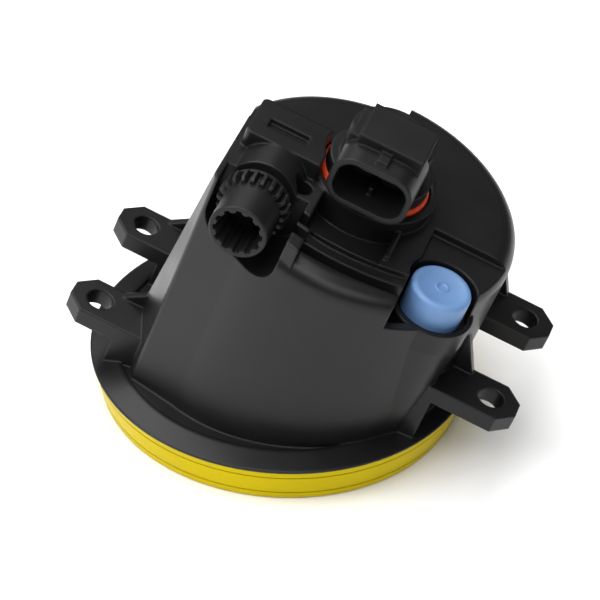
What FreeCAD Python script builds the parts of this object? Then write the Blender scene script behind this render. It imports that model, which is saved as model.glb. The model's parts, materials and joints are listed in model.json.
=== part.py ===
import FreeCAD, Part
import os
import re
import sys
import Sketcher

# A round car fog light lying on its lens. The origin is the centre of the lens's outer face and +Z runs
# into the lamp. The lamp's own axis leans from +Z towards +X by the slant, and everything behind the
# flange is drawn about that axis, from the origin, then leaned over as a whole. Millimetres throughout.

SIZES = {
    "slant": 16.64,
    "runningGap": 0.05,
    "fitGap": 0.1,
    "wall": 2.4,
    "past": 10.0,
    "skin": 2.0,
    # lens, seal and flange
    "lensRadius": 50.2,
    "lensFlare": 2.45,
    "lensFaceEdge": 1.0,
    "lensDepth": 10.9,
    "lensThickness": 2.4,
    "lensSkirt": 2.2,
    "lensStepWidth": 3.4,
    "lensStepDepth": 6.0,
    "sealThickness": 1.5,
    "flangeLip": 0.3,
    "flangeEdge": 0.6,
    "flangeRidgeRadius": 43.5,
    "flangeRidgeRise": 1.5,
    "flangeGroove": 1.4,
    "flangeReach": 6.0,
    "flangeRidgeWidth": 1.0,
    # barrel and rear decks
    "barrelRadius": 40.5,
    "shoulderRadius": 5.0,
    "cheekCorner": 2.0,
    "cheekRight": 8.0,
    "cheekTurn": 28.0,
    "cheekFrontTurn": 34.5,
    "cheekFront": 39.0,
    "cheekInset": 0.6,
    "cheekStep": 2.0,
    "deckHeight": 71.3,
    "backDeckDrop": 3.7,
    "cavityHeight": 65.2,
    "grooveX": 2.0,
    "grooveY": 34.0,
    "grooveFront": 20.0,
    "stepGrooveInner": 60.2,
    "stepGrooveWidth": 4.0,
    "stepGrooveDepth": 1.6,
    "deepGrooveInner": 65.4,
    "deepGrooveWidth": 3.2,
    "deepGrooveDepth": 3.4,
    "hollowLeft": 9.5,
    "hollowRight": 10.6,
    "hollowFront": 25.4,
    "hollowDepth": 3.0,
    "ribRise": 1.1,
    "ribX": 10.9,
    "ribWidth": 1.0,
    "ribFront": 23.0,
    "ribBack": 9.0,
    "ribTurn": 40.0,
    "flankFoot": 41.6,
    "flankLean": 0.087,
    # ears that bolt the lamp to the bumper
    "earSpacingX": 101.0,
    "earSpacingY": 34.4,
    "earHoleRadius": 3.5,
    "earThickness": 4.8,
    "earWidth": 13.4,
    "earReach": 7.6,
    "earCorner": 4.4,
    "earRoot": 9.0,
    "leftEarHeight": 10.0,
    "rightEarHeight": 39.4,
    "leftEarPost": 43.4,
    "rightEarPost": 37.5,
    "earWeb": 2.2,
    "leftWebRise": 6.0,
    "rightWebRise": 14.0,
    "leftWebReach": 49.0,
    "rightWebReach": 45.0,
    # bulb collar
    "collarRadius": 16.6,
    "collarHeight": 75.5,
    "collarSeat": 14.7,
    "collarSeatDepth": 2.3,
    "sealRoom": 0.3,
    "collarBore": 11.6,
    "collarLip": 4.0,
    "collarRoot": 3.0,
    "tabChamber": 15.0,
    "tabReach": 13.5,
    "notchHalfWidth": 3.6,
    "notchRoom": 0.4,
    "tabHalfWidth": 3.0,
    "tabHeight": 2.3,
    "tabAngle": 45.0,
    # adjuster housing
    "aimX": 23.2,
    "aimHeight": 72.0,
    "blockLeft": 33.5,
    "blockRight": 13.0,
    "blockBack": 3.0,
    "blockFront": 12.0,
    "blockHeight": 80.0,
    "blockCorner": 1.6,
    "blockRoot": 6.0,
    "hoodFront": 20.5,
    "hoodRadius": 9.2,
    "shelfHeight": 75.0,
    "pocketHalfWidth": 11.7,
    "pocketDrop": 11.7,
    "pocketCorner": 6.0,
    "pocketShift": 1.4,
    "nutRoom": 7.2,
    "slotX": 24.0,
    "slotLength": 10.6,
    "slotY": 5.25,
    "slotWidth": 3.5,
    "slotDepth": 1.4,
    "roof": 2.4,
    "driverRadius": 2.6,
    "driverX": 14.6,
    "driverY": 16.4,
    "driverDepth": 6.0,
    "shaftSealLength": 1.9,
    "shaftSealRoom": 0.2,
    # adjuster
    "screwRadius": 2.5,
    "gearTipRadius": 9.2,
    "gearTubeRadius": 7.45,
    "gearBore": 5.45,
    "gearTeeth": 22.0,
    "gearToothDepth": 4.0,
    "gearFace": 29.3,
    "gearTubeLength": 10.0,
    "gearWeb": 1.0,
    "gearHub": 4.2,
    "gearBackStep": 0.6,
    "gearHubGap": 0.4,
    "gearGrip": 1.5,
    "socketExtra": 0.5,
    "screwEnd": 1.5,
    "clipWidth": 2.0,
    "clipPlace": 1.2,
    "clipThickness": 0.8,
    "nutDepth": 6.4,
    "nutHalfHeight": 4.4,
    "nutSideGap": 0.6,
    "jawHalfWidth": 3.6,
    "jawDrop": 3.4,
    "nutY": 4.5,
    "ballRadius": 1.8,
    "ballGap": 0.12,
    "jawRoof": 0.5,
    "ballHeight": 65.0,
    # reflector
    "pivotHeight": 28.0,
    "pivotRadius": 2.0,
    "pivotLength": 3.4,
    "studGap": 0.3,
    "pivotClearance": 0.9,
    "pivotBossEnd": 38.6,
    "focusHeight": 48.0,
    "focalLength": 12.0,
    "skirtRadius": 35.8,
    "reflectorWall": 1.8,
    "reflectorRim": 11.5,
    "bulbHole": 13.0,
    "armHalfWidth": 2.0,
    "armHalfDepth": 1.1,
    "armRoot": 8.0,
    "legNear": 15.0,
    "legFar": 16.0,
    "legHalfWidth": 2.0,
    "legEnd": 1.6,
    "shieldRadius": 9.0,
    "shieldWall": 0.6,
    "shieldLow": 27.0,
    "shieldHigh": 34.0,
    "shieldLip": 0.8,
    "springHalfWidth": 4.0,
    "springNear": 13.6,
    "springFar": 18.0,
    "springDrop": 0.9,
    "springThickness": 0.8,
    # bulb
    "bulbBaseRadius": 13.5,
    "bulbBaseLow": 76.2,
    "bulbBaseHigh": 80.0,
    "neckRadius": 11.0,
    "neckHeight": 9.0,
    "headLeft": 7.3,
    "headRight": 9.9,
    "headFront": 16.0,
    "headBack": 2.0,
    "headStepLeft": 9.6,
    "headStepFront": 14.0,
    "headStepDrop": 2.4,
    "latchFront": 20.4,
    "shellBack": 8.0,
    "keyWidth": 1.2,
    "keySetBack": 6.0,
    "keyHeight": 2.2,
    "wellRadius": 4.0,
    "wellDepth": 6.0,
    "hubRadius": 11.2,
    "tabRoom": 2.6,
    "hubBore": 8.0,
    "holderReach": 3.4,
    "holderRise": 4.0,
    "capsuleRadius": 5.9,
    "capsuleWall": 0.9,
    "capsuleLength": 30.0,
    "glassRise": 2.0,
    "pinchLength": 4.0,
    "leadRadius": 0.4,
    "leadX": 2.4,
    "leadRise": 5.0,
    "footRadius": 0.3,
    "coilRadius": 0.8,
    "coilLength": 5.0,
    "footPlace": 2.9,
    "leadOverlap": 0.7,
    "plugCentreX": 0.75,
    "plugWidth": 21.2,
    "plugHeight": 14.0,
    "plugLow": 81.0,
    "plugCorner": 5.6,
    "plugMouth": 23.0,
    "plugWall": 1.5,
    "plugDepth": 13.0,
    "headTop": 97.5,
    "bladeWidth": 2.8,
    "bladeThickness": 0.8,
    "bladeSpacing": 5.8,
    "bladeSetBack": 7.5,
    "bladeRoot": 4.0,
    "latchWidth": 3.0,
    "latchRise": 0.8,
    # vent
    "ventX": 27.0,
    "ventY": 20.0,
    "ventFloor": 60.0,
    "ventRadius": 7.9,
    "ventHeight": 9.0,
    "capGap": 0.4,
    "capRound": 1.2,
    "capRoof": 0.8,
    "capWall": 1.2,
    "capSkirtGap": 0.9,
    "capSkirtDepth": 4.0,
    "membraneDrop": 3.0,
    "membraneThickness": 0.4,
    "ventPocketRadius": 9.3,
    "ventBossWall": 1.4,
    "ventBossFoot": 14.0,
    "ventBossDraft": 4.4,
    "ventBossRoot": 4.0,
    "ventLip": 2.6,
    "ventMouth": 8.5,
    "nippleRadius": 4.6,
    "breatherRadius": 1.2,
    "ventShelf": 69.2,
    "ventStepX": 19.0,
    "ventStepY": 3.0,
}

os.makedirs("parts", exist_ok=True)
doc = FreeCAD.newDocument("FogLight")
sheet = doc.addObject("Spreadsheet::Sheet", "Sizes")
for row, (name, size) in enumerate(SIZES.items(), start=1):
    sheet.set("A%d" % row, name)
    sheet.set("B%d" % row, str(size))
    sheet.setAlias("B%d" % row, name)
doc.recompute()

NAMES = re.compile(r"\b(" + "|".join(sorted(SIZES, key=len, reverse=True)) + r")\b")
UP = FreeCAD.Vector(0, 0, 1)
AXES = {"X": FreeCAD.Rotation(FreeCAD.Vector(0, 1, 0), 90),
        "Y": FreeCAD.Rotation(FreeCAD.Vector(1, 0, 0), -90),
        "Z": FreeCAD.Rotation()}


def formula(text):
    """The text with every size's name pointed at its cell."""
    return NAMES.sub(r"Sizes.\1", str(text))


def value(text):
    """The number that a formula gives now."""
    return float(sheet.evalExpression(formula(text)))


def bind(item, **places):
    """Bind properties of an object to formulas; an underscore stands for a dot in a property's name."""
    for place, text in places.items():
        item.setExpression(place.replace("_", "."), formula(text))
    return item


def add(kind, name):
    item = doc.addObject(kind, name)
    item.Label = name
    return item


def box(name, across, along, up):
    """A box between two formulas on each axis."""
    item = add("Part::Box", name)
    length, width, height = ("(%s) - (%s)" % (high, low) for low, high in (across, along, up))
    return bind(item, Length=length, Width=width, Height=height, Placement_Base_x=across[0],
                Placement_Base_y=along[0], Placement_Base_z=up[0])


def rod(name, radius, start, length, direction="Z"):
    """A cylinder from a start point along +X, +Y or +Z."""
    item = add("Part::Cylinder", name)
    item.Placement = FreeCAD.Placement(FreeCAD.Vector(), AXES[direction])
    return bind(item, Radius=radius, Height=length, Placement_Base_x=start[0], Placement_Base_y=start[1],
                Placement_Base_z=start[2])


def cone(name, low, high, start, length):
    item = add("Part::Cone", name)
    return bind(item, Radius1=low, Radius2=high, Height=length, Placement_Base_x=start[0],
                Placement_Base_y=start[1], Placement_Base_z=start[2])


def ball(name, radius, centre):
    item = add("Part::Sphere", name)
    return bind(item, Radius=radius, Placement_Base_x=centre[0], Placement_Base_y=centre[1],
                Placement_Base_z=centre[2])


def fuse(name, *items):
    item = add("Part::MultiFuse", name)
    item.Shapes = list(items)
    item.Refine = True
    return item


def cut(name, base, *tools):
    """The base less every tool; the volume has to fall, so a tool that misses is noticed."""
    item = add("Part::Cut", name)
    item.Base = base
    item.Tool = tools[0] if len(tools) == 1 else fuse(name + "Tools", *tools)
    item.Refine = True
    doc.recompute()
    if item.Shape.Volume > base.Shape.Volume - 1e-3:
        sys.exit("%s cuts nothing" % name)
    return item


def common(name, *items):
    item = add("Part::MultiCommon", name)
    item.Shapes = list(items)
    return item


def outline(body, plane, points):
    """A closed sketch on one of the body's planes, each corner held at two formulas."""
    sketch = body.newObject("Sketcher::SketchObject", body.Name + "Sketch")
    role = [part for part in body.Origin.OriginFeatures if part.Role == plane]
    sketch.AttachmentSupport = [(role[0], "")]
    sketch.MapMode = "FlatFace"
    places = [FreeCAD.Vector(value(a), value(b), 0) for a, b in points]
    count = len(places)
    for index in range(count):
        sketch.addGeometry(Part.LineSegment(places[index], places[(index + 1) % count]), False)
    for index in range(count):
        sketch.addConstraint(Sketcher.Constraint("Coincident", index, 2, (index + 1) % count, 1))
    for index, pair in enumerate(points):
        for side, text in zip(("DistanceX", "DistanceY"), pair):
            number = sketch.addConstraint(Sketcher.Constraint(side, -1, 1, index, 1, value(text)))
            sketch.setExpression("Constraints[%d]" % number, formula(text))
    return sketch


def pad(name, points, length, start="0", plane="XY_Plane"):
    """A flat outline made thick; an outline on the XZ plane grows to both sides of it."""
    body = add("PartDesign::Body", name)
    feature = body.newObject("PartDesign::Pad", name + "Pad")
    feature.Profile = outline(body, plane, points)
    feature.Midplane = plane == "XZ_Plane"
    bind(feature, Length=length)
    bind(body, Placement_Base_z=start)
    body.Tip = feature
    return body


def turned(name, points):
    """An outline in the XZ plane turned about Z."""
    body = add("PartDesign::Body", name)
    sketch = outline(body, "XZ_Plane", points)
    feature = body.newObject("PartDesign::Revolution", name + "Turn")
    feature.Profile = sketch
    feature.ReferenceAxis = (sketch, ["V_Axis"])
    body.Tip = feature
    return body


def rounded(name, base, radius, chosen):
    """The base with the edges that a test picks rounded to a size."""
    doc.recompute()
    size = value(radius)
    edges = [number for number, edge in enumerate(base.Shape.Edges, start=1) if chosen(edge)]
    if not edges:
        sys.exit("%s finds no edge" % name)
    item = add("Part::Fillet", name)
    item.Base = base
    item.Edges = [(number, size, size) for number in edges]
    return item


def level(edge, height):
    """Whether an edge lies flat at a height."""
    bounds = edge.BoundBox
    return abs(bounds.ZMin - height) < 1e-4 and abs(bounds.ZMax - height) < 1e-4


def ring(name, outer, inner, low, high, centre=("0", "0")):
    """A plain ring about the Z direction."""
    length = "(%s) - (%s)" % (high, low)
    body = rod(name + "Outer", outer, (centre[0], centre[1], low), length)
    hole = rod(name + "Hole", inner, (centre[0], centre[1], low), length)
    return cut(name, body, hole)


def wrapped(name, plain):
    """A primitive in a wrapper, which can be turned while the primitive keeps its own bound place."""
    item = add("Part::Refine", name)
    item.Source = plain
    return item


def spoke(name, item, angle):
    """Turn a primitive about the lamp's axis."""
    item = wrapped(name, item)
    item.Placement = FreeCAD.Placement(FreeCAD.Vector(), FreeCAD.Rotation(UP, angle))
    return item


def leaned(item):
    """Lean a finished item over with the lamp's axis."""
    item.Placement = FreeCAD.Placement(FreeCAD.Vector(), FreeCAD.Rotation(FreeCAD.Vector(0, 1, 0), 1))
    return bind(item, Placement_Rotation_Angle="slant")


# Lens: a shallow cup with a step inside that carries the seal

def make_lens():
    face = "lensRadius - lensFlare"
    inner = "lensRadius - lensSkirt"
    return turned("lens", [
        ("0", "0"), (face + " - lensFaceEdge", "0"), (face, "lensFaceEdge"),
        ("lensRadius", "lensDepth"), (inner, "lensDepth"), (inner, "lensStepDepth"),
        (inner + " - lensStepWidth", "lensStepDepth"), (inner + " - lensStepWidth", "lensThickness"),
        ("0", "lensThickness")])


def make_lens_seal():
    inner = "lensRadius - lensSkirt - lensStepWidth"
    return ring("lens_seal", "lensRadius - lensSkirt - fitGap", inner, "lensStepDepth", SPIGOT_LOW)


SPIGOT_LOW = "(lensStepDepth + sealThickness)"
DECK_BACK = "(deckHeight - backDeckDrop)"
EAR_X = "(earSpacingX / 2)"
EAR_Y = "(earSpacingY / 2)"
AIM = ("-aimX", "aimHeight")
BELOW = "(-2 * past)"
ABOVE = "(deckHeight + 4 * past)"
FAR = "(2 * barrelRadius + past)"
VENT = ("ventX", "-ventY")


# Housing: flange, barrel, ears, rear deck, collar, adjuster block and vent boss in one moulding

def make_flange():
    """The flange sits on the lens's skirt and its spigot goes inside; a ridge and a groove ring its top."""
    spigot = "lensRadius - lensSkirt - fitGap"
    edge = "lensRadius + flangeLip"
    groove = "lensDepth + flangeGroove"
    ridge = "lensDepth + flangeEdge + flangeRidgeRise"
    return turned("flange", [
        ("barrelRadius - flangeReach", SPIGOT_LOW), (spigot, SPIGOT_LOW), (spigot, "lensDepth"),
        (edge, "lensDepth"), (edge, "lensDepth + flangeEdge"),
        ("flangeRidgeRadius + flangeRidgeWidth", ridge), ("flangeRidgeRadius", ridge),
        ("flangeRidgeRadius", groove), ("barrelRadius - flangeReach", groove)])


def make_barrel():
    """The barrel with its big shoulder, a leaning left flank and the cheek in front of the adjuster."""
    high = round_tube("highTube", "deckHeight")
    step = box("backStep", ("-barrelRadius - past", "0"), ("blockBack", "barrelRadius + past"),
               (DECK_BACK + " - shoulderRadius - 1", "deckHeight + past"))
    tube = fuse("barrel", cut("highCut", high, step), round_tube("lowTube", DECK_BACK))
    side = "-barrelRadius - 1"
    cheek = pad("cheek", [("-cheekRight", "0"), (side, "0"), (side, "-cheekRight"),
                          ("-aimX - pocketHalfWidth + cheekInset", "-cheekTurn"),
                          ("-aimX + cheekStep", "-cheekFrontTurn"), ("-cheekRight", "-cheekFront")],
                "shelfHeight + past", "-past")
    cheek = rounded("cheekRound", cheek, "cheekCorner", cheek_corner)
    return fuse("barrelBody", tube, cheek)


def round_tube(name, height):
    """The barrel's solid up to a deck, with its big rounded shoulder."""
    tube = rod(name + "Plain", "barrelRadius", ("0", "0", BELOW), height + " - " + BELOW)
    return rounded(name, tube, "shoulderRadius", lambda edge: level(edge, value(height)))


def cheek_corner(edge):
    bounds = edge.BoundBox
    upright = bounds.ZMax - bounds.ZMin > value("shelfHeight") / 2
    return upright and abs(bounds.YMin + value("cheekTurn")) < 1e-3


def flank(name, inset):
    """What lies outside the leaning left flank, moved in by an inset."""
    foot = "-flankFoot + (%s)" % inset
    low = foot + " + flankLean * " + BELOW
    high = foot + " + flankLean * " + ABOVE
    return pad(name, [("-" + FAR, BELOW), (low, BELOW), (high, ABOVE), ("-" + FAR, ABOVE)], "2 * " + FAR,
               plane="XZ_Plane")


def make_ear(name, side, front):
    """An eight-sided ear on a post, with a thin web over its rear edge; side and front are +1 or -1."""
    height, rise, far, web_reach = ear_sizes(side)
    reach = "(%s + earReach)" % EAR_X
    root = "barrelRadius - earRoot"
    half = "earWidth / 2"
    middle = "(%d * %s)" % (front, EAR_Y)
    along = [(reach + " - earCorner", "-" + half), (reach, "-%s + earCorner" % half),
             (reach, "%s - earCorner" % half), (reach + " - earCorner", half),
             (root, half), (root, "-" + half)]
    points = [("%d * (%s)" % (side, a), "%s + %s" % (middle, b)) for a, b in along]
    plate = pad(name + "Plate", points, "earThickness", height + " - earThickness / 2")
    post = box(name + "Post", span_x(root, far, side), (middle + " - " + half, middle + " + " + half),
               (BELOW, height))
    top = height + " + earThickness / 2 + " + rise
    web_points = [(root, height), (web_reach, height), ("barrelRadius - earRoot / 3", top), (root, top)]
    web = pad(name + "Web", [("%d * (%s)" % (side, a), b) for a, b in web_points], "earWeb", plane="XZ_Plane")
    bind(web, Placement_Base_y=middle + " + (earWidth - earWeb) / 2", Placement_Base_z="0")
    return fuse(name, plate, post, web)


def span_x(near, far, side):
    """The low and high formulas of a stretch of X on one side of the axis."""
    return (near, far) if side > 0 else ("-(%s)" % far, "-(%s)" % near)


def make_block():
    """The raised block over the adjuster nut, its hood and the shelf in front."""
    block = box("nutBlock", ("-blockLeft", "-blockRight"), ("-blockFront", "blockBack"),
                (DECK_BACK + " - blockRoot", "blockHeight"))
    block = rounded("nutBlockRound", block, "blockCorner", left_upright)
    hood = rod("hood", "hoodRadius", (AIM[0], "-hoodFront", "blockHeight - hoodRadius"), "hoodFront", "Y")
    shelf = box("shelf", ("-blockLeft", "-aimX + pocketHalfWidth"), ("-hoodFront", "-blockFront"),
                (DECK_BACK + " - blockRoot", "shelfHeight"))
    return fuse("aimBlock", block, hood, shelf)


def left_upright(edge):
    bounds = edge.BoundBox
    return bounds.XMax < -value("blockRight + wall") and bounds.ZLength > value("blockRoot")


def make_pocket(name, grow):
    """The pocket the adjuster's gear turns in, open to the front and rear; grown, it is the pocket's skin."""
    low = "aimHeight - pocketDrop - " + grow
    left = AIM[0] + " - pocketHalfWidth + pocketShift - " + grow
    space = box(name, (left, AIM[0] + " + pocketHalfWidth + " + grow), ("-" + FAR, "-hoodFront + " + grow),
                (low, ABOVE))
    return rounded(name + "Round", space, "pocketCorner + " + grow,
                   lambda edge: along_floor(edge, value(low)))


def along_floor(edge, height):
    return edge.BoundBox.YLength > value("barrelRadius") / 2 and abs(edge.BoundBox.ZMax - height) < 1e-4


def make_grooves():
    """Two curved steps across the front of the deck, under the plug."""
    reach = box("grooveReach", (AIM[0] + " + pocketHalfWidth + 0.01", "ventStepX"),
                ("-" + FAR, "-grooveFront"), ("deckHeight - past", "deckHeight + past"))
    centre = ("grooveX", "grooveY")
    cuts = []
    for name in ("stepGroove", "deepGroove"):
        band = ring(name + "Band", "%sInner + %sWidth" % (name, name), name + "Inner",
                    "deckHeight - %sDepth" % name, "deckHeight + past", centre)
        cuts.append(common(name, band, reach))
    return cuts


EARS = [("LeftFront", -1, -1), ("LeftBack", -1, 1), ("RightFront", 1, -1), ("RightBack", 1, 1)]


def ear_sizes(side):
    """The names of an ear's height, its web's rise, its post's reach and its web's reach."""
    word = "left" if side < 0 else "right"
    return [word + size for size in ("EarHeight", "WebRise", "EarPost", "WebReach")]


def make_outside():
    """Everything behind the flange as one upright solid, before it is hollowed."""
    core = fuse("core", make_barrel(), make_block(), collar_post(), vent_boss())
    vent_step = box("ventStep", ("ventStepX", FAR), ("-" + FAR, "-ventStepY"), ("ventShelf", ABOVE))
    hollow = box("plugHollow", ("-hollowLeft", "hollowRight"), ("-hollowFront", "0"),
                 ("deckHeight - hollowDepth", ABOVE))
    hollow = cut("plugHollowCut", hollow, rod("plugHollowRound", "collarRadius", ("0", "0", "0"), ABOVE))
    mouth = box("ventMouthBox", ("ventX - ventMouth", "ventX + ventMouth"), ("-" + FAR, "-ventY"),
                ("ventFloor + ventLip", ABOVE))
    core = cut("coreCut", core, flank("flankOuter", "0"), make_pocket("gearPocket", "0"), vent_step,
               vent_pocket("ventPocket", "0"), mouth, hollow, *make_grooves())
    ears = [make_ear("ear" + name, side, front) for name, side, front in EARS]
    return fuse("outside", core, *ears, vent_nipple(), deck_ribs())


def main_cavity():
    """The room for the reflector, with skins left round the gear's and the vent's pockets."""
    tube = rod("cavityTube", "barrelRadius - wall", ("0", "0", BELOW), "cavityHeight - " + BELOW)
    return cut("cavity", tube, flank("flankInner", "wall"), make_pocket("pocketSkin", "skin"),
               vent_pocket("ventSkin", "skin"))


def make_holes():
    holes = []
    for name, side, front in EARS:
        start = ("%d * %s" % (side, EAR_X), "%d * %s" % (front, EAR_Y), ear_sizes(side)[0] + " - past / 2")
        holes.append(rod("earHole" + name, "earHoleRadius", start, "past"))
    holes.append(box("nutRoomBox", (AIM[0] + " - nutRoom", AIM[0] + " + nutRoom"),
                     ("-blockFront + 1", "blockBack - 1"),
                     ("cavityHeight - blockRoot", "blockHeight - roof")))
    holes.append(box("blockSlot", ("-slotX - slotLength / 2", "-slotX + slotLength / 2"),
                     ("-slotY - slotWidth / 2", "-slotY + slotWidth / 2"),
                     ("blockHeight - slotDepth", "blockHeight + past")))
    front_face = (AIM[0], "-hoodFront - 1", AIM[1])
    holes.append(rod("screwBore", "screwRadius + runningGap", front_face, "hoodFront", "Y"))
    holes.append(rod("sealSeat", "gearHub + shaftSealRoom", front_face, "1 + shaftSealLength", "Y"))
    holes.append(rod("driverGuide", "driverRadius", ("-driverX", "-driverY", "shelfHeight - driverDepth"),
                     "past"))
    holes.append(rod("breather", "breatherRadius", (*VENT, "ventFloor - 3 * past"), "6 * past"))
    return holes


def below(name, height):
    """Everything under a height above the lens's face."""
    return box(name, ("-" + FAR, FAR), ("-" + FAR, FAR), ("-" + FAR, height))


def make_housing():
    hollowed = cut("hollowed", make_outside(), main_cavity(), *make_holes(), *collar_cuts())
    shell = leaned(cut("bossed", fuse("withBosses", hollowed, *pivot_bosses()), pivot_bore("studBore", "0")))
    above = cut("shellAboveLens", shell, below("belowFlange", "lensDepth"))
    tube = rod("openingCylinder", "barrelRadius - wall", ("0", "0", BELOW), ABOVE)
    opening = cut("openingTube", tube, flank("flankOpening", "wall"))
    ring_body = cut("flangeOpened", make_flange(), leaned(opening))
    return fuse("housing", above, ring_body)


def pivot_bosses():
    """A bored boss inside the barrel on each side, from just clear of the reflector out into the wall."""
    bosses = []
    for name, side in (("right", 1), ("left", -1)):
        low, high = span_x("skirtRadius + pivotClearance", "pivotBossEnd", side)
        length = "(%s) - (%s)" % (high, low)
        bosses.append(rod(name + "Boss", "pivotRadius + wall", (low, "0", "pivotHeight"), length, "X"))
    return bosses


def pivot_bore(name, grow):
    """The rod through both studs, from end to end."""
    reach = "(skirtRadius - reflectorWall + studGap + pivotLength)"
    return rod(name, "pivotRadius + " + grow, ("-" + reach, "0", "pivotHeight"), "2 * " + reach, "X")


def collar_post():
    return rod("collarPost", "collarRadius", ("0", "0", "cavityHeight - collarRoot"),
               "collarHeight - cavityHeight + collarRoot")


def collar_cuts():
    """Seat, lip with three notches, and the chamber that the bulb's tabs turn in."""
    lip_low = "collarHeight - collarSeatDepth - collarLip"
    cuts = [rod("collarSeatCut", "collarSeat", ("0", "0", "collarHeight - collarSeatDepth"), "past"),
            rod("collarBoreCut", "collarBore", ("0", "0", "cavityHeight - past"), "3 * past"),
            rod("tabChamberCut", "tabChamber", ("0", "0", "cavityHeight - past"),
                lip_low + " - cavityHeight + past")]
    for index in range(3):
        notch = box("tabNotch%d" % index, ("0", "tabReach + notchRoom"),
                    ("-notchHalfWidth", "notchHalfWidth"), (lip_low + " - 1", "collarHeight"))
        cuts.append(spoke("tabNotchTurned%d" % index, notch, 120 * index + 90 + value("tabAngle")))
    return cuts


def vent_pocket(name, grow):
    return rod(name, "ventPocketRadius + " + grow, (*VENT, "ventFloor - " + grow), "3 * past")


def vent_boss():
    """A long boss that grows out of the barrel's wall and ends in a thin lip round the cap."""
    rim = "ventPocketRadius + ventBossWall"
    low = "ventFloor - ventBossRoot"
    tube = rod("ventBossTube", rim, (*VENT, low), "ventBossRoot + ventLip")
    draft = cone("ventBossCone", rim + " - ventBossDraft", rim, (*VENT, "ventBossFoot"),
                 low + " - ventBossFoot")
    return fuse("ventBoss", tube, draft)


def vent_nipple():
    return rod("ventNipple", "nippleRadius", (*VENT, "ventFloor - 1"), "ventHeight - 2")


def deck_ribs():
    """Two thin ribs that meet in a V beside the plug."""
    low = "deckHeight - collarRoot"
    rise = "deckHeight + ribRise"
    straight = box("deckRibStraight", ("ribX", "ribX + ribWidth"), ("-ribFront", "-ribBack"), (low, rise))
    slanted = box("deckRibSlanted", ("0", "ribWidth"), ("-ribBack", "0"), (low, rise))
    corner = FreeCAD.Vector(value("ribX + ribWidth"), -value("ribBack + ribWidth"), value(low))
    slanted.Placement = FreeCAD.Placement(corner, FreeCAD.Rotation(UP, value("ribTurn")))
    return fuse("deckRibs", straight, slanted)


# Aiming: gear and tube, screw, seal, push-on washer and nut

def toothed_ring():
    """The gear's rim, with square teeth made by cutting the gaps between them."""
    count = int(value("gearTeeth"))
    back = "-gearFace"
    rim = rod("gearRim", "gearTipRadius", (AIM[0], back, AIM[1]), "gearToothDepth", "Y")
    gap = value("gearTipRadius * pi / gearTeeth")
    gaps = []
    for index in range(count):
        corner = FreeCAD.Vector(value("gearTubeRadius"), -1, -gap / 2)
        tool = Part.makeBox(value("gearTipRadius / 2"), value("gearToothDepth") + 2, gap, corner)
        tool.rotate(FreeCAD.Vector(), FreeCAD.Vector(0, 1, 0), 360 * index / count)
        gaps.append(tool)
    item = add("Part::Feature", "gearGaps")
    item.Shape = Part.makeCompound(gaps)
    centre = FreeCAD.Vector(value(AIM[0]), value(back), value(AIM[1]))
    item.Placement = FreeCAD.Placement(centre, FreeCAD.Rotation())
    return cut("gearTeethRing", rim, item)


def make_adjuster_gear():
    mouth = "-gearFace - gearTubeLength"
    back = "-gearFace + gearToothDepth"
    tube = rod("gearTube", "gearTubeRadius", (AIM[0], mouth, AIM[1]), "gearTubeLength + gearToothDepth", "Y")
    web = rod("gearBack", "gearTipRadius - gearBackStep", (AIM[0], back, AIM[1]), "gearWeb", "Y")
    hub = rod("gearHubRod", "gearHub", (AIM[0], back, AIM[1]),
              "gearFace - gearToothDepth - hoodFront - gearHubGap", "Y")
    bore = rod("gearBoreCut", "gearBore", (AIM[0], mouth + " - 1", AIM[1]),
               "gearTubeLength + 1 + socketExtra", "Y")
    core = rod("gearScrewHole", "screwRadius", (AIM[0], back + " - gearGrip", AIM[1]), "3 * past", "Y")
    return cut("adjuster_gear", fuse("gearSolid", toothed_ring(), tube, web, hub), bore, core)


def make_adjuster_screw():
    start = "-gearFace + gearToothDepth - gearGrip"
    length = "blockBack - screwEnd - (%s)" % start
    shaft = rod("screwShaft", "screwRadius", (AIM[0], start, AIM[1]), length, "Y")
    return wrapped("adjuster_screw", shaft)


def side_ring(name, outer, inner, start, length):
    """A plain ring about the adjuster's axis."""
    body = rod(name + "Outer", outer, (AIM[0], start, AIM[1]), length, "Y")
    hole = rod(name + "Hole", inner, (AIM[0], start, AIM[1]), length, "Y")
    return cut(name, body, hole)


def make_aim_nut():
    """A block on the screw with two jaws that hold the ball of the reflector's arm."""
    low = "-nutY - nutDepth / 2"
    high = "-nutY + nutDepth / 2"
    width = "(nutRoom - nutSideGap)"
    block = box("nutBody", (AIM[0] + " - " + width, AIM[0] + " + " + width), (low, high),
                ("aimHeight - nutHalfHeight", "aimHeight + nutHalfHeight"))
    jaws = box("nutJaws", (AIM[0] + " - jawHalfWidth", AIM[0] + " + jawHalfWidth"), (low, high),
               ("ballHeight - jawDrop", "aimHeight"))
    slot = box("nutSlot", (AIM[0] + " - nutRoom", AIM[0] + " + nutRoom"),
               ("-nutY - ballRadius - ballGap", "-nutY + ballRadius + ballGap"),
               ("ballHeight - 2 * jawDrop", "ballHeight + ballRadius + jawRoof"))
    bore = rod("nutBore", "screwRadius + runningGap", (AIM[0], low + " - 1", AIM[1]), "nutDepth + 2", "Y")
    return cut("aim_nut", fuse("nutSolid", block, jaws), slot, bore)


# Reflector: a parabolic bowl on two studs, with a straight skirt and an arm up to the nut

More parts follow.
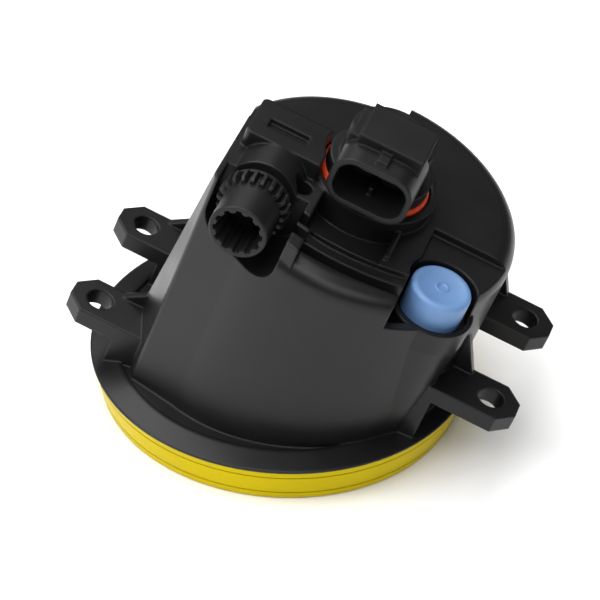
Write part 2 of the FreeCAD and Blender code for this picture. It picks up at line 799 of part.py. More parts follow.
def bowl(name, offset, reach):
    """A solid under the parabola moved back by an offset and kept inside a radius."""
    top = value("focusHeight + focalLength") + offset
    stops = [reach * index / 12 for index in range(13)]
    curve = Part.BSplineCurve()
    curve.interpolate([FreeCAD.Vector(r, 0, top - r * r / (4 * value("focalLength"))) for r in stops])
    rim = curve.EndPoint
    low = FreeCAD.Vector(reach, 0, value(BELOW))
    base = FreeCAD.Vector(0, 0, value(BELOW))
    wire = Part.Wire([curve.toShape(), Part.makeLine(rim, low), Part.makeLine(low, base),
                      Part.makeLine(base, FreeCAD.Vector(0, 0, top))])
    item = add("Part::Feature", name)
    item.Shape = Part.Face(wire).revolve(FreeCAD.Vector(), UP, 360)
    return item


def make_reflector():
    outer = bowl("bowlOutside", value("reflectorWall"), value("skirtRadius"))
    inner = bowl("bowlInside", 0, value("skirtRadius - reflectorWall"))
    arm = box("reflectorArm", (AIM[0] + " - armHalfWidth", AIM[0] + " + armHalfWidth"),
              ("-nutY - armHalfDepth", "-nutY + armHalfDepth"), ("focusHeight - armRoot", "ballHeight"))
    tip = ball("armBall", "ballRadius", (AIM[0], "-nutY", "ballHeight"))
    hole = rod("bulbHoleCut", "bulbHole", ("0", "0", "focusHeight"), ABOVE)
    pins = rod("pivotHoles", "pivotRadius + runningGap", ("-" + FAR, "0", "pivotHeight"), "2 * " + FAR, "X")
    upright = cut("reflectorUpright", fuse("reflectorSolid", outer, arm, tip), inner, hole, pins, leg_slot())
    return cut("reflector", leaned(upright), below("rimTrim", "reflectorRim"))


LEG = ("legNear", "legFar")


def leg_slot():
    return box("legSlot", ("-legHalfWidth - fitGap", "legHalfWidth + fitGap"),
               (LEG[0] + " - fitGap", LEG[1] + " + fitGap"), ("focusHeight", ABOVE))


def make_bulb_shield():
    """A cup in front of the bulb, on one leg that passes through the reflector."""
    width = ("-legHalfWidth", "legHalfWidth")
    cup = ring("shieldCup", "shieldRadius", "shieldRadius - shieldWall", "shieldLow + shieldWall",
               "shieldHigh")
    face = rod("shieldFace", "shieldRadius", ("0", "0", "shieldLow"), "shieldWall")
    foot = box("shieldFoot", width, ("shieldRadius - shieldWall * 2 / 3", LEG[1]),
               ("shieldHigh - shieldLip", "shieldHigh"))
    leg = box("shieldLeg", width, LEG, ("shieldHigh - shieldLip", "focusHeight + focalLength + legEnd"))
    return fuse("bulb_shield", cup, face, foot, leg)


def make_shield_clip():
    """A spring plate pushed over the leg's end behind the reflector."""
    low = "focusHeight + focalLength - springDrop"
    plate = box("clipPlate", ("-springHalfWidth", "springHalfWidth"), ("springNear", "springFar"),
                (low, low + " + springThickness"))
    hole = box("clipHole", ("-legHalfWidth", "legHalfWidth"), LEG, (low + " - 1", low + " + 2"))
    return cut("shield_clip", plate, hole)


def make_pivot_studs():
    start = "skirtRadius - reflectorWall + studGap"
    right = rod("rightStud", "pivotRadius", (start, "0", "pivotHeight"), "pivotLength", "X")
    far = "-(%s) - pivotLength" % start
    left = rod("leftStud", "pivotRadius", (far, "0", "pivotHeight"), "pivotLength", "X")
    return fuse("pivot_studs", left, right)


# Bulb: base with its plug shell, hub with three tabs, capsule and what is in it

def make_bulb_base():
    """The round base, a hooded block on it and the plug's shell that opens to the front."""
    disc = rod("baseDisc", "bulbBaseRadius", ("0", "0", "bulbBaseLow"), "bulbBaseHigh - bulbBaseLow")
    neck = rod("baseNeck", "neckRadius", ("0", "0", "bulbBaseHigh"), "neckHeight")
    block = box("baseBlock", ("-headLeft", "headRight"), ("-headFront", "-headBack"),
                ("bulbBaseHigh", "headTop"))
    step = box("baseStep", ("-headStepLeft", "-headLeft"), ("-headStepFront", "-headBack"),
               ("bulbBaseHigh", "headTop - headStepDrop"))
    latch = box("baseLatch", ("plugCentreX - latchWidth / 2", "plugCentreX + latchWidth / 2"),
                ("-latchFront", "-headFront"),
                ("plugLow + plugHeight - 1", "plugLow + plugHeight + latchRise"))
    shell = plug_solid("plugShell", "0", "plugMouth", "shellBack")
    room = plug_solid("plugRoom", "plugWall", "plugMouth + 1", "plugMouth - plugDepth")
    key = box("plugKey", ("plugCentreX - keyWidth / 2", "plugCentreX + keyWidth / 2"),
              ("-plugMouth + keySetBack", "-plugMouth + plugDepth"),
              ("plugLow + plugWall / 2", "plugLow + plugWall + keyHeight"))
    solid = cut("baseHollow", fuse("baseSolid", disc, neck, block, step, latch, shell), room)
    bores = rod("leadWell", "wellRadius", ("0", "0", "bulbBaseLow - 1"), "wellDepth")
    return cut("bulb_base", fuse("baseWithKey", solid, key), bores, *blade_slots())


def plug_solid(name, inset, front, back):
    """The plug's rounded outline from a front to a back distance, shrunk all round by an inset."""
    low = "plugLow + " + inset
    high = "plugLow + plugHeight - " + inset
    left = "plugCentreX - plugWidth / 2 + " + inset
    right = "plugCentreX + plugWidth / 2 - " + inset
    item = box(name + "Box", (left, right), ("-(%s)" % front, "-(%s)" % back), (low, high))
    return rounded(name, item, "plugCorner - " + inset, lambda edge: edge.BoundBox.YLength > 5)


def blade_spots():
    return ["plugCentreX + %d * bladeSpacing / 2" % side for side in (-1, 1)]


def blade_slots():
    middle = "plugLow + plugHeight / 2"
    return [box("bladeSlot%d" % index, (spot + " - bladeWidth / 2", spot + " + bladeWidth / 2"),
                ("-plugMouth + plugDepth - 1", "-plugMouth + plugDepth + bladeRoot"),
                (middle + " - bladeThickness / 2", middle + " + bladeThickness / 2"))
            for index, spot in enumerate(blade_spots())]


def make_connector_terminals():
    middle = "plugLow + plugHeight / 2"
    blades = [box("blade%d" % index, (spot + " - bladeWidth / 2", spot + " + bladeWidth / 2"),
                  ("-plugMouth + bladeSetBack", "-plugMouth + plugDepth + bladeRoot"),
                  (middle + " - bladeThickness / 2", middle + " + bladeThickness / 2"))
              for index, spot in enumerate(blade_spots())]
    return fuse("connector_terminals", *blades)


TAB_LOW = "(collarHeight - collarSeatDepth - collarLip - tabRoom)"


def make_bulb_ring():
    """The metal hub under the base, with three tabs that lock under the collar's lip."""
    hub = rod("ringHub", "hubRadius", ("0", "0", TAB_LOW), "bulbBaseLow - " + TAB_LOW)
    tabs = []
    for index in range(3):
        tab = box("ringTab%d" % index, ("hubRadius - 2", "tabReach"), ("-tabHalfWidth", "tabHalfWidth"),
                  (TAB_LOW, TAB_LOW + " + tabHeight"))
        tabs.append(spoke("ringTabTurned%d" % index, tab, 120 * index + 90))
    hole = rod("ringHole", "hubBore", ("0", "0", TAB_LOW + " - 1"), "3 * past")
    return cut("bulb_ring", fuse("ringSolid", hub, *tabs), hole)


def make_capsule_holder():
    return ring("capsule_holder", "hubBore", "capsuleRadius", TAB_LOW + " - holderReach",
                TAB_LOW + " + holderRise")


def make_bulb_glass():
    """A capsule with a round tip, closed at its foot."""
    top = TAB_LOW + " + glassRise"
    low = top + " - capsuleLength"
    inner = "capsuleRadius - capsuleWall"
    outside = fuse("glassOutside", rod("glassTube", "capsuleRadius", ("0", "0", low), "capsuleLength"),
                   ball("glassTip", "capsuleRadius", ("0", "0", low)))
    inside = fuse("glassInside", rod("glassRoom", inner, ("0", "0", low), "capsuleLength - pinchLength"),
                  ball("glassTipRoom", inner, ("0", "0", low)))
    return cut("bulb_glass", outside, inside, *lead_rods("leadHole"))


def lead_rods(name):
    """Two supply wires from the base down to the filament's ends."""
    high = "bulbBaseLow + leadRise"
    spots = (("-leadX", "focusHeight + footPlace - leadOverlap"),
             ("leadX", "focusHeight - footPlace - leadOverlap"))
    return [rod("%s%d" % (name, index), "leadRadius", (across, "0", low), high + " - (%s)" % low)
            for index, (across, low) in enumerate(spots)]


def make_bulb_leads():
    """The two supply wires with their short feet to the filament."""
    feet = [rod("upperFoot", "footRadius", ("-leadX", "0", "focusHeight + footPlace"), "leadX", "X"),
            rod("lowerFoot", "footRadius", ("0", "0", "focusHeight - footPlace"), "leadX", "X")]
    return fuse("bulb_leads", *lead_rods("lead"), *feet)


def make_bulb_filament():
    coil = rod("filamentRod", "coilRadius", ("0", "0", "focusHeight - coilLength / 2"), "coilLength")
    return wrapped("bulb_filament", coil)


# Vent: cap pressed over the nipple, with a membrane under its roof

def make_vent_cap():
    low = "ventFloor + capGap"
    top = low + " + ventHeight"
    cap = rod("capSolid", "ventRadius", (*VENT, low), "ventHeight")
    cap = rounded("capTop", cap, "capRound", lambda edge: level(edge, value(top)))
    room = rod("capRoom", "nippleRadius", (*VENT, low + " - 1"), "ventHeight - capRoof")
    skirt = ring("capSkirtRoom", "ventRadius - capWall", "nippleRadius + capSkirtGap", low + " - 1",
                 low + " + capSkirtDepth", VENT)
    return cut("vent_cap", cap, room, skirt)


def make_vent_membrane():
    low = "ventFloor + ventHeight - membraneDrop"
    disc = rod("membraneDisc", "nippleRadius - fitGap", (*VENT, low), "membraneThickness")
    return wrapped("vent_membrane", disc)


nodes = [
    make_lens(),
    make_lens_seal(),
    make_housing(),
    make_reflector(),
    leaned(make_bulb_shield()),
    leaned(make_shield_clip()),
    leaned(make_pivot_studs()),
    leaned(make_bulb_base()),
    leaned(make_bulb_ring()),
    leaned(make_capsule_holder()),
    leaned(make_bulb_glass()),
    leaned(make_bulb_filament()),
    leaned(make_bulb_leads()),
    leaned(make_connector_terminals()),
    leaned(ring("bulb_seal", "collarSeat - sealRoom", "hubRadius", "collarHeight - collarSeatDepth + fitGap",
                "bulbBaseLow")),
    leaned(make_vent_cap()),
    leaned(make_vent_membrane()),
    leaned(make_adjuster_gear()),
    leaned(make_adjuster_screw()),
    leaned(side_ring("adjuster_seal", "gearHub + shaftSealRoom", "screwRadius + runningGap", "-hoodFront",
                     "shaftSealLength")),
    leaned(side_ring("adjuster_clip", "screwRadius + clipWidth", "screwRadius", "-blockFront + clipPlace",
                     "clipThickness")),
    leaned(make_aim_nut()),
]

doc.recompute()
for item in doc.Objects:
    if "Invalid" in item.State or "Error" in item.State:
        sys.exit("%s failed: %s" % (item.Label, item.State))
for item in nodes:
    if item.Shape.isNull() or not item.Shape.isValid() or item.Shape.Volume <= 0:
        sys.exit("%s has no valid shape" % item.Label)
for item in nodes:
    item.Shape.exportStep("parts/%s.step" % item.Label)
    print(item.Label, len(item.Shape.Solids), round(item.Shape.Volume))
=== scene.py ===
import bpy, bmesh, json, math
from mathutils import Matrix, Vector


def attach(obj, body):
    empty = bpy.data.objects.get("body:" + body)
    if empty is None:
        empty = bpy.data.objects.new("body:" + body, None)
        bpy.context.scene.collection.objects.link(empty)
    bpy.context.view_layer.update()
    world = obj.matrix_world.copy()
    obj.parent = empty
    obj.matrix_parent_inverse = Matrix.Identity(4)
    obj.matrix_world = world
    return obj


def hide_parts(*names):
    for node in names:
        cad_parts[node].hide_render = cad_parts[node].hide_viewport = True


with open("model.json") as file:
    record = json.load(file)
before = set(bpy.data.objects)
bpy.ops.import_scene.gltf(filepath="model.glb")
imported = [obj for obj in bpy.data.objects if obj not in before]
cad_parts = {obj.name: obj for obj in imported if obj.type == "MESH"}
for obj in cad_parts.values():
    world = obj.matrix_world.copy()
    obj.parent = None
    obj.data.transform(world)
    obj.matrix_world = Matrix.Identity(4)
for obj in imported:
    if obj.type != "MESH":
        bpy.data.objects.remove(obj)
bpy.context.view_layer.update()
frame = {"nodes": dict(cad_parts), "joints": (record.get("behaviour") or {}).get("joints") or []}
nodes = frame["nodes"]
mm = 0.001
print("frame loaded:", len(nodes), "nodes")

# the lamp's own axis leans over from the lens, so points are set out along it and square to it
joints = {joint["name"]: joint for joint in frame["joints"]}
lampAxis = Vector(joints["bulb_twist"]["axis"]).normalized()
acrossAxis = Vector(joints["reflector_tilt"]["axis"]).normalized()
alongAxis = lampAxis.cross(acrossAxis).normalized()


def lampPoint(x, y, a):  # millimetres across, along and up the lamp's axis, to metres in the frame
    return (acrossAxis * x + alongAxis * y + lampAxis * a) * mm


def lampBox(name):  # the lowest and highest corner of a node in the same directions, in millimetres
    node = nodes[name]
    spots = [node.matrix_world @ vertex.co / mm for vertex in node.data.vertices]
    spans = [[spot.dot(axis) for spot in spots] for axis in (acrossAxis, alongAxis, lampAxis)]
    return Vector([min(span) for span in spans]), Vector([max(span) for span in spans])


# shader helpers

class Socket:
    # a node's output that takes part in sums and products as a number would
    def __init__(self, graph, link):
        self.graph = graph
        self.link = link

    def maths(self, operation, first, second):
        node = self.graph.nodes.new("ShaderNodeMath")
        node.operation = operation
        for slot, item in zip(node.inputs, (first, second)):
            if isinstance(item, Socket):
                self.graph.links.new(item.link, slot)
            else:
                slot.default_value = item
        return Socket(self.graph, node.outputs[0])

    def __add__(self, other):
        return self.maths("ADD", self, other)

    def __radd__(self, other):
        return self.maths("ADD", other, self)

    def __mul__(self, other):
        return self.maths("MULTIPLY", self, other)

    def __rmul__(self, other):
        return self.maths("MULTIPLY", other, self)


grainDetail = 2.0  # how rough every grain's own noise is


class Finish:
    # one material: its graph, its shader, and one method that adds any node
    def __init__(self, name, **fixed):
        self.material = bpy.data.materials.new(name)
        self.material.use_nodes = True
        self.graph = self.material.node_tree
        self.shader = self.graph.nodes["Principled BSDF"]
        for socket, number in fixed.items():
            self.shader.inputs[socket.replace("_", " ")].default_value = number

    def node(self, kind, settings=None, output=0, **values):
        # a value's name is its socket's name, or _ and its number where several sockets share a name
        node = self.graph.nodes.new("ShaderNode" + kind)
        for name, setting in (settings or {}).items():
            setattr(node, name, setting)
        for name, item in values.items():
            slot = node.inputs[int(name[1:])] if name[0] == "_" else node.inputs[name]
            if isinstance(item, Socket):
                self.graph.links.new(item.link, slot)
            else:
                slot.default_value = item
        return Socket(self.graph, node.outputs[output])

    def feed(self, socket, item):
        self.graph.links.new(item.link, self.shader.inputs[socket])

    def noise(self, scale, detail):
        return self.node("TexNoise", Vector=self.node("TexCoord", output=3), Scale=scale, Detail=detail)

    def between(self, factor, first, second):
        return self.node("Mix", {"data_type": "RGBA"}, output=2, _0=factor, _6=first, _7=second)

    def grain(self, look):
        # fine grain laid over edges that catch the light as moulded or rolled ones do
        edges = self.node("Bevel", {"samples": 6}, Radius=look["edge"])
        height = self.noise(look["grain"], grainDetail)
        self.feed("Normal", self.node("Bump", Height=height, Strength=look["grainStrength"],
                                      Distance=look["grainDepth"], Normal=edges))


def rgba(r, g, b):
    return (r, g, b, 1.0)


def cloudyFinish(name, look, **fixed):
    # a colour and a gloss that drift together, and a grain where the look has one
    finish = Finish(name, **fixed)
    cloud = finish.noise(look["cloud"], look["detail"])
    finish.feed("Base Color", finish.between(cloud, look["dark"], look["pale"]))
    finish.feed("Roughness", cloud * look["drift"] + look["roughness"])
    if "grain" in look:
        finish.grain(look)
    return finish.material


# black mouldings, each as smooth as its own mould
housingLook = {"dark": rgba(0.005, 0.005, 0.0055), "pale": rgba(0.009, 0.009, 0.010),
               "cloud": 90.0, "detail": 4.0, "roughness": 0.26, "drift": 0.14,
               "grain": 2600.0, "grainStrength": 0.35, "grainDepth": 0.00003, "edge": 0.0009}
plugLook = {**housingLook, "roughness": 0.35}
gearLook = {**housingLook, "roughness": 0.38, "edge": 0.0003}
housingBlack = cloudyFinish("housingBlack", housingLook, IOR=1.5, Specular_IOR_Level=0.25)
plugBlack = cloudyFinish("plugBlack", plugLook, IOR=1.5, Specular_IOR_Level=0.25)
gearBlack = cloudyFinish("gearBlack", gearLook, IOR=1.5, Specular_IOR_Level=0.25)

# polished, plain and tinned metal
metalLook = {"cloud": 500.0, "detail": 4.0, "drift": 0.12,
             "grain": 2400.0, "grainStrength": 0.15, "grainDepth": 0.00002, "edge": 0.0002}
chromeLook = {**metalLook, "dark": rgba(0.83, 0.84, 0.86), "pale": rgba(0.9, 0.9, 0.92), "roughness": 0.03}
steelLook = {**metalLook, "dark": rgba(0.42, 0.42, 0.43), "pale": rgba(0.56, 0.56, 0.57), "roughness": 0.28}
tinnedLook = {**metalLook, "dark": rgba(0.62, 0.58, 0.48), "pale": rgba(0.74, 0.70, 0.6), "roughness": 0.24}
chrome = cloudyFinish("mirrorMetal", chromeLook, Metallic=1.0)
steel = cloudyFinish("satinSteel", steelLook, Metallic=1.0)
tinned = cloudyFinish("tinnedBrass", tinnedLook, Metallic=1.0)

# natural plastic inside the lamp
nylonLook = {"dark": rgba(0.62, 0.60, 0.54), "pale": rgba(0.74, 0.72, 0.66),
             "cloud": 200.0, "detail": 3.0, "roughness": 0.38, "drift": 0.15}
nylon = cloudyFinish("palePlastic", nylonLook, IOR=1.5)

# matt black seals
rubberLook = {"dark": rgba(0.012, 0.012, 0.012), "pale": rgba(0.03, 0.03, 0.03),
              "cloud": 300.0, "detail": 3.0, "roughness": 0.6, "drift": 0.2}
rubber = cloudyFinish("blackRubber", rubberLook, IOR=1.5)

# the yellow lens: one even gloss, and barely a sheen
lensLook = {"dark": rgba(0.50, 0.385, 0.0), "pale": rgba(0.58, 0.455, 0.0), "cloud": 40.0, "detail": 2.0,
            "grain": 900.0, "grainStrength": 0.1, "grainDepth": 0.00002, "edge": 0.0007}


def tintedLens(look):
    finish = Finish("tintedLens", IOR=1.5, Specular_IOR_Level=0.04, Roughness=0.3)
    cloud = finish.noise(look["cloud"], look["detail"])
    finish.feed("Base Color", finish.between(cloud, look["dark"], look["pale"]))
    finish.grain(look)
    return finish.material


# the bulb's clear quartz
quartzLook = {"dark": rgba(0.93, 0.96, 0.97), "pale": rgba(1.0, 1.0, 1.0), "cloud": 60.0, "detail": 3.0,
              "film": 120.0, "filmRoughness": 0.03}


def quartzGlass(look):
    finish = Finish("quartzGlass", IOR=1.46, Transmission_Weight=1.0)
    tint = finish.noise(look["cloud"], look["detail"])
    finish.feed("Base Color", finish.between(tint, look["dark"], look["pale"]))
    finish.feed("Roughness", finish.noise(look["film"], look["detail"]) * look["filmRoughness"])
    return finish.material


# the orange-red ring
siliconeLook = {"dark": rgba(0.60, 0.045, 0.012), "pale": rgba(0.75, 0.075, 0.02),
                "cloud": 220.0, "detail": 3.0, "roughness": 0.3, "drift": 0.12}

# the blue vent cap
capLook = {"dark": rgba(0.10, 0.205, 0.42), "pale": rgba(0.14, 0.265, 0.49),
           "cloud": 160.0, "detail": 3.0, "roughness": 0.38, "drift": 0.1,
           "grain": 1800.0, "grainStrength": 0.25, "grainDepth": 0.00003, "edge": 0.0004}

finishes = {
    "housing": housingBlack, "lens": tintedLens(lensLook), "lens_seal": rubber, "reflector": chrome,
    "bulb_shield": steel, "shield_clip": steel, "pivot_studs": nylon, "bulb_base": plugBlack,
    "bulb_ring": steel, "capsule_holder": steel, "bulb_glass": quartzGlass(quartzLook),
    "bulb_filament": steel, "bulb_leads": steel, "connector_terminals": tinned,
    "bulb_seal": cloudyFinish("siliconeRed", siliconeLook, IOR=1.42),
    "vent_cap": cloudyFinish("capBlue", capLook, IOR=1.5),
    "vent_membrane": nylon, "adjuster_gear": gearBlack, "adjuster_screw": steel, "adjuster_seal": rubber,
    "adjuster_clip": steel, "aim_nut": nylon,
}
for name, material in finishes.items():
    nodes[name].data.materials.clear()
    nodes[name].data.materials.append(material)
print("finishes given:", len(finishes))


# pieces with more detail than their CAD nodes

def newPiece(name, mesh, node, body):
    piece = bpy.data.objects.new(name, mesh)
    bpy.context.scene.collection.objects.link(piece)
    mesh.materials.append(finishes[node])
    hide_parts(node)
    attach(piece, body)
    print("made", name)


def loft(name, levels, radiusAt, steps, toPoint):
    # rings of points joined one after another, with a fan at each end
    # a level starts with its place along the line; radiusAt gives the ring's radius there at each angle
    mesh = bpy.data.meshes.new(name)
    form = bmesh.new()
    angles = [2 * math.pi * step / steps for step in range(steps)]
    rings = []
    for level in levels:
        rings.append([form.verts.new(toPoint(level[0], radiusAt(level, angle), angle)) for angle in angles])
    for lower, upper in zip(rings, rings[1:]):
        for step in range(steps):
            following = (step + 1) % steps
            form.faces.new((lower[step], lower[following], upper[following], upper[step]))
    for ring, level in ((rings[0], levels[0]), (rings[-1], levels[-1])):
        tip = form.verts.new(toPoint(level[0], 0.0, 0.0))
        for step in range(steps):
            form.faces.new((ring[step], ring[(step + 1) % steps], tip))
    bmesh.ops.recalc_face_normals(form, faces=form.faces)
    form.to_mesh(mesh)
    form.free()
    return mesh


def hoop(name, levels, steps, toPoint):
    # a closed section carried round a line
    mesh = bpy.data.meshes.new(name)
    count = len(levels)
    points = [toPoint(place, radius, 2 * math.pi * step / steps)
              for step in range(steps) for place, radius in levels]
    faces = []
    for step in range(steps):
        near, far = step * count, (step + 1) % steps * count
        for index in range(count):
            following = (index + 1) % count
            faces.append((near + index, near + following, far + following, far + index))
    mesh.from_pydata(points, [], faces)
    return mesh


def shadeSmooth(mesh, angle):
    # smooth shading that stays sharp where faces meet steeper than the angle
    form = bmesh.new()
    form.from_mesh(mesh)
    for face in form.faces:
        face.smooth = True
    for edge in form.edges:
        edge.smooth = len(edge.link_faces) == 2 and edge.calc_face_angle(0.0) < math.radians(angle)
    form.to_mesh(mesh)
    form.free()
    return mesh


def plainRadius(level, angle):
    return level[1]


def aboutLampLine(x, y):  # places a lathe's points round a line that runs up the lamp's axis
    def toPoint(a, radius, angle):
        return lampPoint(x + radius * math.cos(angle), y + radius * math.sin(angle), a)
    return toPoint


def aboutLens(height, radius, angle):  # round the frame's own Z, which the lens is square to
    return Vector((radius * math.cos(angle), radius * math.sin(angle), height)) * mm


adjusterCentre = Vector(joints["aim_adjuster"]["pos_m"]) / mm
adjusterX, adjusterA = adjusterCentre.dot(acrossAxis), adjusterCentre.dot(lampAxis)


def aboutAdjuster(y, radius, angle):
    return lampPoint(adjusterX + radius * math.cos(angle), y, adjusterA + radius * math.sin(angle))


def arc(centre, radius, first, last, count):  # (place, radius) points on part of a circle, degrees
    spots = []
    for step in range(count + 1):
        angle = math.radians(first + (last - first) * step / count)
        spots.append((centre[0] + radius * math.sin(angle), centre[1] + radius * math.cos(angle)))
    return spots


# the aiming gear: a splined tube in front, then crown teeth with a bevelled front, a shoulder and a shaft
gear = {"splines": 12, "bore": 5.45, "groove": 6.15, "splineEdge": 2.5, "boreLength": 10.5,
        "flare": 0.25, "flareLength": 0.5, "tube": 7.45, "lip": 0.35, "tubeLength": 10.0,
        "teeth": 22, "tip": 9.2, "toothEdge": 1.6, "toothLength": 4.0, "bevel": 0.7, "bevelLength": 0.8,
        "shoulder": 8.6, "shoulderLength": 1.0, "shaft": 4.2, "steps": 264, "smooth": 32}


def gearRadius(level, angle):
    kind = level[1]
    if kind in ("bore", "mouth"):
        wave = max(-1.0, min(1.0, gear["splineEdge"] * math.cos(gear["splines"] * angle)))
        middle, reach = (gear["bore"] + gear["groove"]) / 2, (gear["groove"] - gear["bore"]) / 2
        return middle - reach * wave + (gear["flare"] if kind == "mouth" else 0.0)
    if kind in ("bevel", "tooth"):
        share = max(0.0, min(1.0, 0.5 - gear["toothEdge"] * math.cos(gear["teeth"] * angle)))
        top = gear["tip"] - (gear["bevel"] if kind == "bevel" else 0.0)
        return gear["tube"] + (top - gear["tube"]) * share
    return kind


def makeGear():
    low, high = lampBox("adjuster_gear")
    mouth = low.y
    crown = mouth + gear["tubeLength"]
    crownBack = crown + gear["toothLength"]
    shaftStart = crownBack + gear["shoulderLength"]
    levels = [(mouth + gear["boreLength"], "bore"), (mouth + gear["flareLength"], "bore"), (mouth, "mouth"),
              (mouth, gear["tube"] - gear["lip"]), (mouth + gear["lip"], gear["tube"]), (crown, gear["tube"]),
              (crown, "bevel"), (crown + gear["bevelLength"], "tooth"), (crownBack, "tooth"),
              (crownBack, gear["shoulder"]), (shaftStart, gear["shoulder"]), (shaftStart, gear["shaft"]),
              (high.y, gear["shaft"])]
    mesh = shadeSmooth(loft("gear", levels, gearRadius, gear["steps"], aboutAdjuster), gear["smooth"])
    newPiece("aimingGear", mesh, "adjuster_gear", "adjuster")


# the aiming screw: a plain neck, then a thread that deepens over its first stretch
screw = {"radius": 2.5, "depth": 0.42, "pitch": 1.25, "neck": 6.8, "runIn": 2.0,
         "perPitch": 8, "steps": 40, "smooth": 50}


def makeScrew():
    low, high = lampBox("adjuster_screw")
    threadStart = low.y + screw["neck"]

    def screwRadius(level, angle):
        along = level[0] - threadStart
        if along < 0:
            return screw["radius"]
        turn = (along / screw["pitch"] - angle / (2 * math.pi)) % 1.0
        groove = screw["depth"] * (1.0 - abs(2 * turn - 1.0))
        return screw["radius"] - groove * min(1.0, along / screw["runIn"])

    rise = screw["pitch"] / screw["perPitch"]
    count = int((high.y - threadStart) / rise)
    levels = [(low.y,)] + [(threadStart + rise * step,) for step in range(count + 1)]
    mesh = shadeSmooth(loft("screw", levels, screwRadius, screw["steps"], aboutAdjuster), screw["smooth"])
    newPiece("aimingScrew", mesh, "adjuster_screw", "adjuster")


# the vent cap: a soft rim round a flat top with a small dimple, and two skirts below
cap = {"outer": 7.9, "chamfer": 0.15, "round": 1.1, "roundSteps": 6, "wall": 1.2, "roof": 0.8,
       "nipple": 4.6, "nippleWall": 0.9, "gapDepth": 4.0,
       "panelOuter": 6.1, "panelOuterSlope": 0.3, "panelInner": 1.75, "panelInnerSlope": 0.15,
       "panelDepth": 0.15, "dimple": 1.3, "dimpleSlope": 0.3, "dimpleDepth": 0.3,
       "steps": 96, "smooth": 40}


def makeCap():
    low, high = lampBox("vent_cap")
    base, top = low.z, high.z
    middle = (low + high) / 2
    roundCentre = (top - cap["round"], cap["outer"] - cap["round"])
    nippleOuter = cap["nipple"] + cap["nippleWall"]
    skirtInner = cap["outer"] - cap["wall"]
    panelFloor = top - cap["panelDepth"]
    levels = [(top - cap["roof"], cap["nipple"]), (base, cap["nipple"]), (base, nippleOuter),
              (base + cap["gapDepth"], nippleOuter), (base + cap["gapDepth"], skirtInner), (base, skirtInner),
              (base, cap["outer"] - cap["chamfer"]), (base + cap["chamfer"], cap["outer"])]
    levels += arc(roundCentre, cap["round"], 0, 90, cap["roundSteps"])
    levels += [(top, cap["panelOuter"]), (panelFloor, cap["panelOuter"] - cap["panelOuterSlope"]),
               (panelFloor, cap["panelInner"] + cap["panelInnerSlope"]), (top, cap["panelInner"]),
               (top, cap["dimple"]), (top - cap["dimpleDepth"], cap["dimple"] - cap["dimpleSlope"])]
    mesh = loft("cap", levels, plainRadius, cap["steps"], aboutLampLine(middle.x, middle.y))
    newPiece("ventCap", shadeSmooth(mesh, cap["smooth"]), "vent_cap", "lamp")


# the bulb's rubber ring: a rounded section that stays a little within the room it has
seal = {"inner": 11.25, "outer": 14.35, "room": 0.1, "roundSteps": 10, "steps": 96, "smooth": 60}


def makeSeal():
    low, high = lampBox("bulb_seal")
    middle, half = (low.z + high.z) / 2, (high.z - low.z) / 2 - seal["room"]
    section = arc((middle, seal["outer"] - half), half, -90, 90, seal["roundSteps"])
    section += arc((middle, seal["inner"] + half), half, 90, 270, seal["roundSteps"])
    mesh = shadeSmooth(hoop("seal", section, seal["steps"], aboutLampLine(0.0, 0.0)), seal["smooth"])
    newPiece("baseSeal", mesh, "bulb_seal", "bulb")


# the lens: its flared band has a fine groove near each edge, and the inside is fluted
lens = {"thickness": 2.4, "seat": 44.6, "step": 6.0, "skirt": 2.2, "flare": 2.45, "faceEdge": 1.0,
        "rimChamfer": 0.15, "rimInset": 0.02, "grooves": ((8.55, 0.343), (2.55, 0.309)), "grooveWidth": 0.4,
        "flankStart": 1.3, "flutes": 72, "fluteDepth": 0.25, "edgeSteps": 5, "steps": 288, "smooth": 30}


def lensRadius(level, angle):
    if level[1] == "fluted":
        return lens["seat"] - lens["fluteDepth"] * math.cos(lens["flutes"] * angle)
    return level[1]


def makeLens():
    width, _, depth = nodes["lens"].dimensions / mm
    rim = width / 2
    face = rim - lens["flare"]
    inner = rim - lens["skirt"]
    slope = lens["flare"] / (depth - lens["faceEdge"])

    def flank(height):
        return face + slope * (height - lens["faceEdge"])

    levels = [(lens["thickness"], "fluted"), (lens["step"], lens["seat"]), (lens["step"], inner),
              (depth, inner), (depth, rim - lens["rimChamfer"]),
              (depth - lens["rimChamfer"], rim - lens["rimInset"])]
    for height, cutDepth in lens["grooves"]:
        side, floor = lens["grooveWidth"] / 2, lens["grooveWidth"] / 4
        levels += [(height + side, flank(height + side)), (height + floor, flank(height + floor) - cutDepth),
                   (height - floor, flank(height - floor) - cutDepth), (height - side, flank(height - side))]
    levels += [(lens["flankStart"], flank(lens["flankStart"]))]
    levels += arc((lens["faceEdge"], face - lens["faceEdge"]), lens["faceEdge"], 0, -90, lens["edgeSteps"])
    mesh = shadeSmooth(loft("lens", levels, lensRadius, lens["steps"], aboutLens), lens["smooth"])
    newPiece("yellowLens", mesh, "lens", "lamp")


# the filament: a coil of wire between its two supply wires
coil = {"radius": 0.64, "wire": 0.11, "inset": 0.1, "turns": 11, "perTurn": 20}


def makeCoil():
    low, high = lampBox("bulb_filament")
    start = low.z + coil["inset"]
    length = high.z - coil["inset"] - start
    curve = bpy.data.curves.new("coil", "CURVE")
    curve.dimensions = "3D"
    curve.bevel_depth = coil["wire"] * mm
    curve.bevel_resolution = 2
    spline = curve.splines.new("POLY")
    count = coil["turns"] * coil["perTurn"]
    spline.points.add(count)
    for step, point in enumerate(spline.points):
        angle = 2 * math.pi * step / coil["perTurn"]
        place = lampPoint(coil["radius"] * math.cos(angle), coil["radius"] * math.sin(angle),
                          start + length * step / count)
        point.co = (*place, 1.0)
    newPiece("filamentCoil", curve, "bulb_filament", "bulb")


makeGear()
makeScrew()
makeCap()
makeSeal()
makeLens()
makeCoil()
print("detailed pieces made")

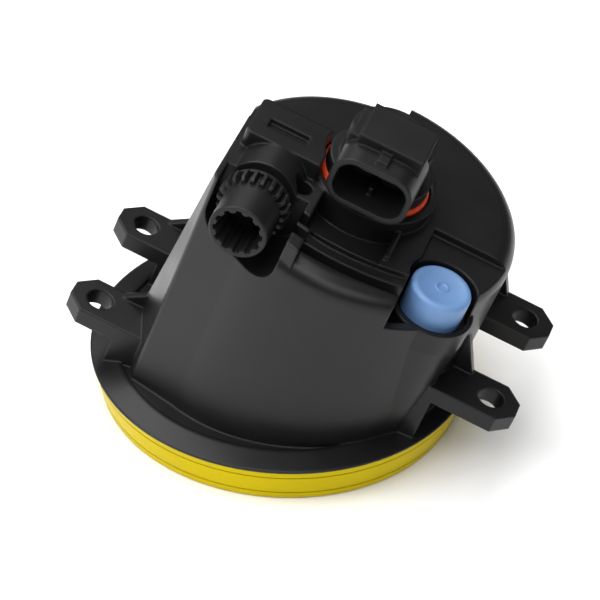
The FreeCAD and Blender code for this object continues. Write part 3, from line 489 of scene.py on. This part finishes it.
# floor and lights, in metres and watts
floorLook = {"colour": rgba(0.93, 0.93, 0.93), "half": 3.0, "drop": 0.0001, "roughness": 0.6, "gloss": 1.3}
worldLook = {"colour": rgba(1, 1, 1), "strength": 0.10}
softBoxes = {
    "overhead": {"place": (-0.30, -0.02, 1.0), "target": (0, 0, 0.0), "size": (1.9, 1.2), "power": 27.0},
    "leftStrip": {"place": (-0.8, -0.55, 0.40), "target": (0, 0, 0.03), "size": (0.3, 0.8), "power": 3.5},
    "frontFill": {"place": (0.5, -0.8, 0.9), "target": (0, 0, 0.0), "size": (1.0, 0.6), "power": 5.0},
}


def makeFloor(look):
    half = look["half"]
    mesh = bpy.data.meshes.new("floor")
    corners = [(-half, -half, 0), (half, -half, 0), (half, half, 0), (-half, half, 0)]
    mesh.from_pydata(corners, [], [(0, 1, 2, 3)])
    floor = bpy.data.objects.new("floor", mesh)
    bpy.context.scene.collection.objects.link(floor)
    floor.location.z = -look["drop"]
    finish = Finish("paleFloor", Roughness=look["roughness"], IOR=look["gloss"])
    finish.shader.inputs["Base Color"].default_value = look["colour"]
    mesh.materials.append(finish.material)


def makeSoftBox(name, look):
    light = bpy.data.lights.new(name, "AREA")
    light.shape = "RECTANGLE"
    light.size, light.size_y = look["size"]
    light.energy = look["power"]
    box = bpy.data.objects.new(name, light)
    bpy.context.scene.collection.objects.link(box)
    box.location = look["place"]
    box.rotation_mode = "QUATERNION"
    box.rotation_quaternion = (Vector(look["target"]) - Vector(look["place"])).to_track_quat("-Z", "Y")


def makeWorld(look):
    world = bpy.data.worlds.new("studio")
    bpy.context.scene.world = world
    world.use_nodes = True
    back = world.node_tree.nodes["Background"]
    back.inputs["Color"].default_value = look["colour"]
    back.inputs["Strength"].default_value = look["strength"]


# the camera stands on a line from the origin (degrees), moved aside and up square to it (metres)
cameraView = {"turn": 15.75, "rise": 38.18, "roll": 3.64, "distance": 0.7977, "aside": 0.00521, "up": 0.02087,
              "lens": 180.0, "sensor": 36.0}


def makeCamera(view):
    turn, rise, roll = (math.radians(view[key]) for key in ("turn", "rise", "roll"))
    back = Vector((math.cos(rise) * math.sin(turn), -math.cos(rise) * math.cos(turn), math.sin(rise)))
    right = Vector((math.cos(turn), math.sin(turn), 0))
    up = back.cross(right)
    rolledRight = right * math.cos(roll) + up * math.sin(roll)
    rolledUp = up * math.cos(roll) - right * math.sin(roll)
    data = bpy.data.cameras.new("camera")
    data.lens = view["lens"]
    data.sensor_width = view["sensor"]
    camera = bpy.data.objects.new("camera", data)
    bpy.context.scene.collection.objects.link(camera)
    place = rolledRight * view["aside"] + rolledUp * view["up"] + back * view["distance"]
    facing = Matrix((rolledRight, rolledUp, back)).transposed().to_4x4()
    camera.matrix_world = Matrix.Translation(place) @ facing
    bpy.context.scene.camera = camera


makeFloor(floorLook)
makeWorld(worldLook)
for name, look in softBoxes.items():
    makeSoftBox(name, look)
makeCamera(cameraView)
bpy.context.scene.view_settings.view_transform = "Standard"
print("stage set")
